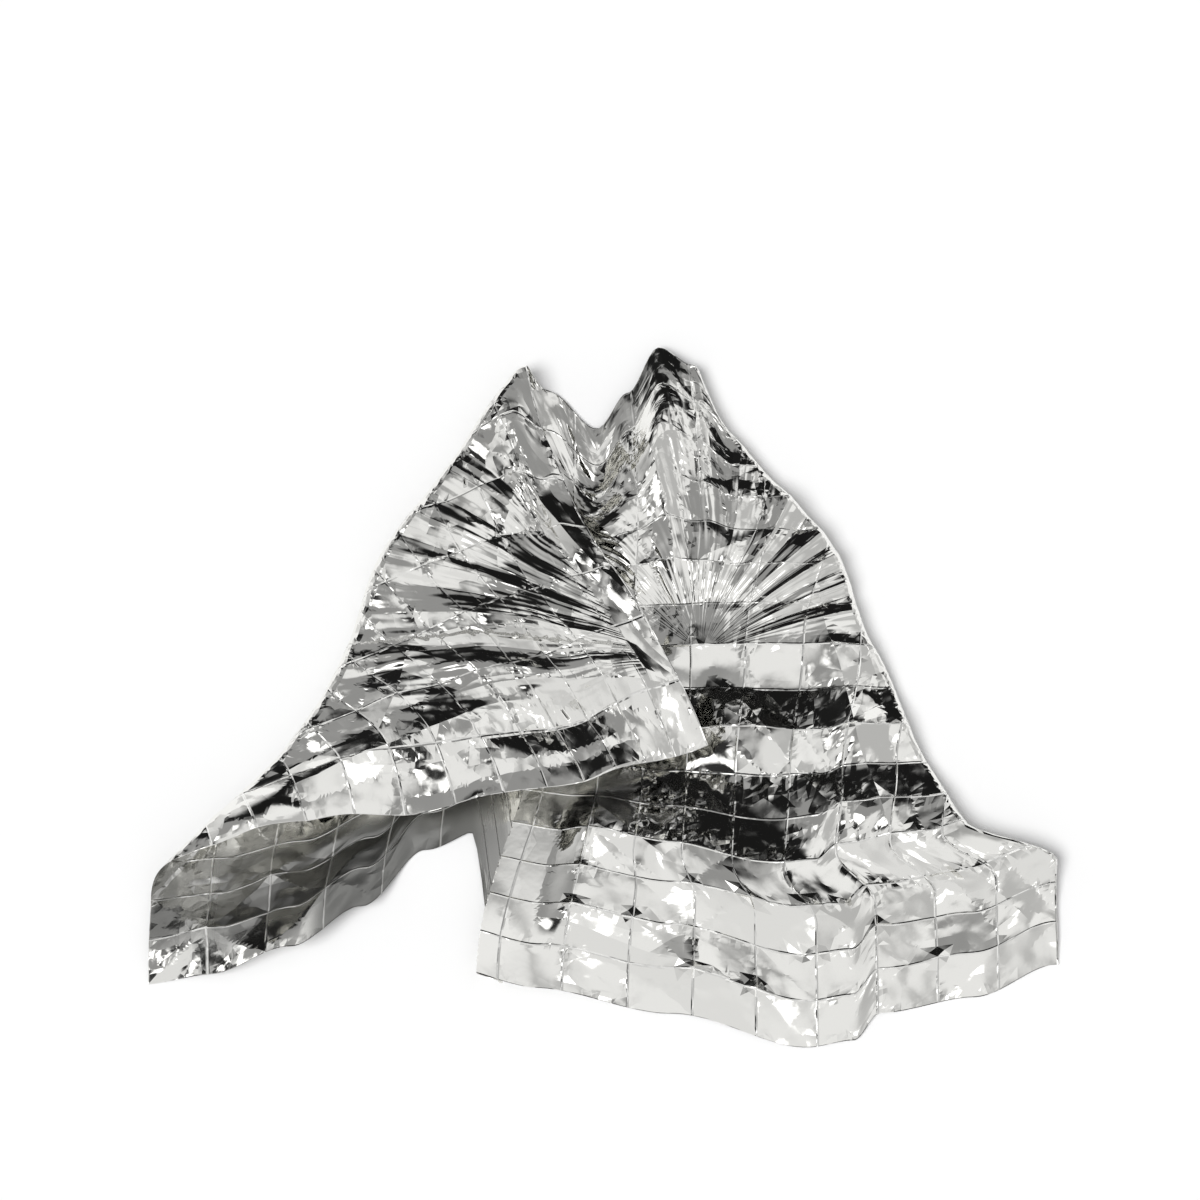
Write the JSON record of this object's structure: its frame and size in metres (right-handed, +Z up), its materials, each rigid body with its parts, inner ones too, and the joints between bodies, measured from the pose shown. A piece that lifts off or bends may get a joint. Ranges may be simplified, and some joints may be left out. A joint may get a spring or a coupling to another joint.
{
  "type": "emergency foil blanket",
  "caption": "Silver foil survival blanket laid out flat with its front corners folded in; a creased reflective sheet that wraps a person to keep them warm.",
  "frame": {"origin": "middle of the space the blanket takes up, on the floor it lies on", "axes": "+Z up from the floor, +Y from the hem towards the neckline, +X to the right as seen from the hem side above"},
  "size_m": [1.9098, 1.565, 0.1589],
  "materials": {
    "silver_foil": "metallised plastic film, mirror bright, creased in a grid and finely crinkled"
  },
  "bodies": {
    "root": {"foil_sheet": "silver_foil"}
  },
  "joints": []
}
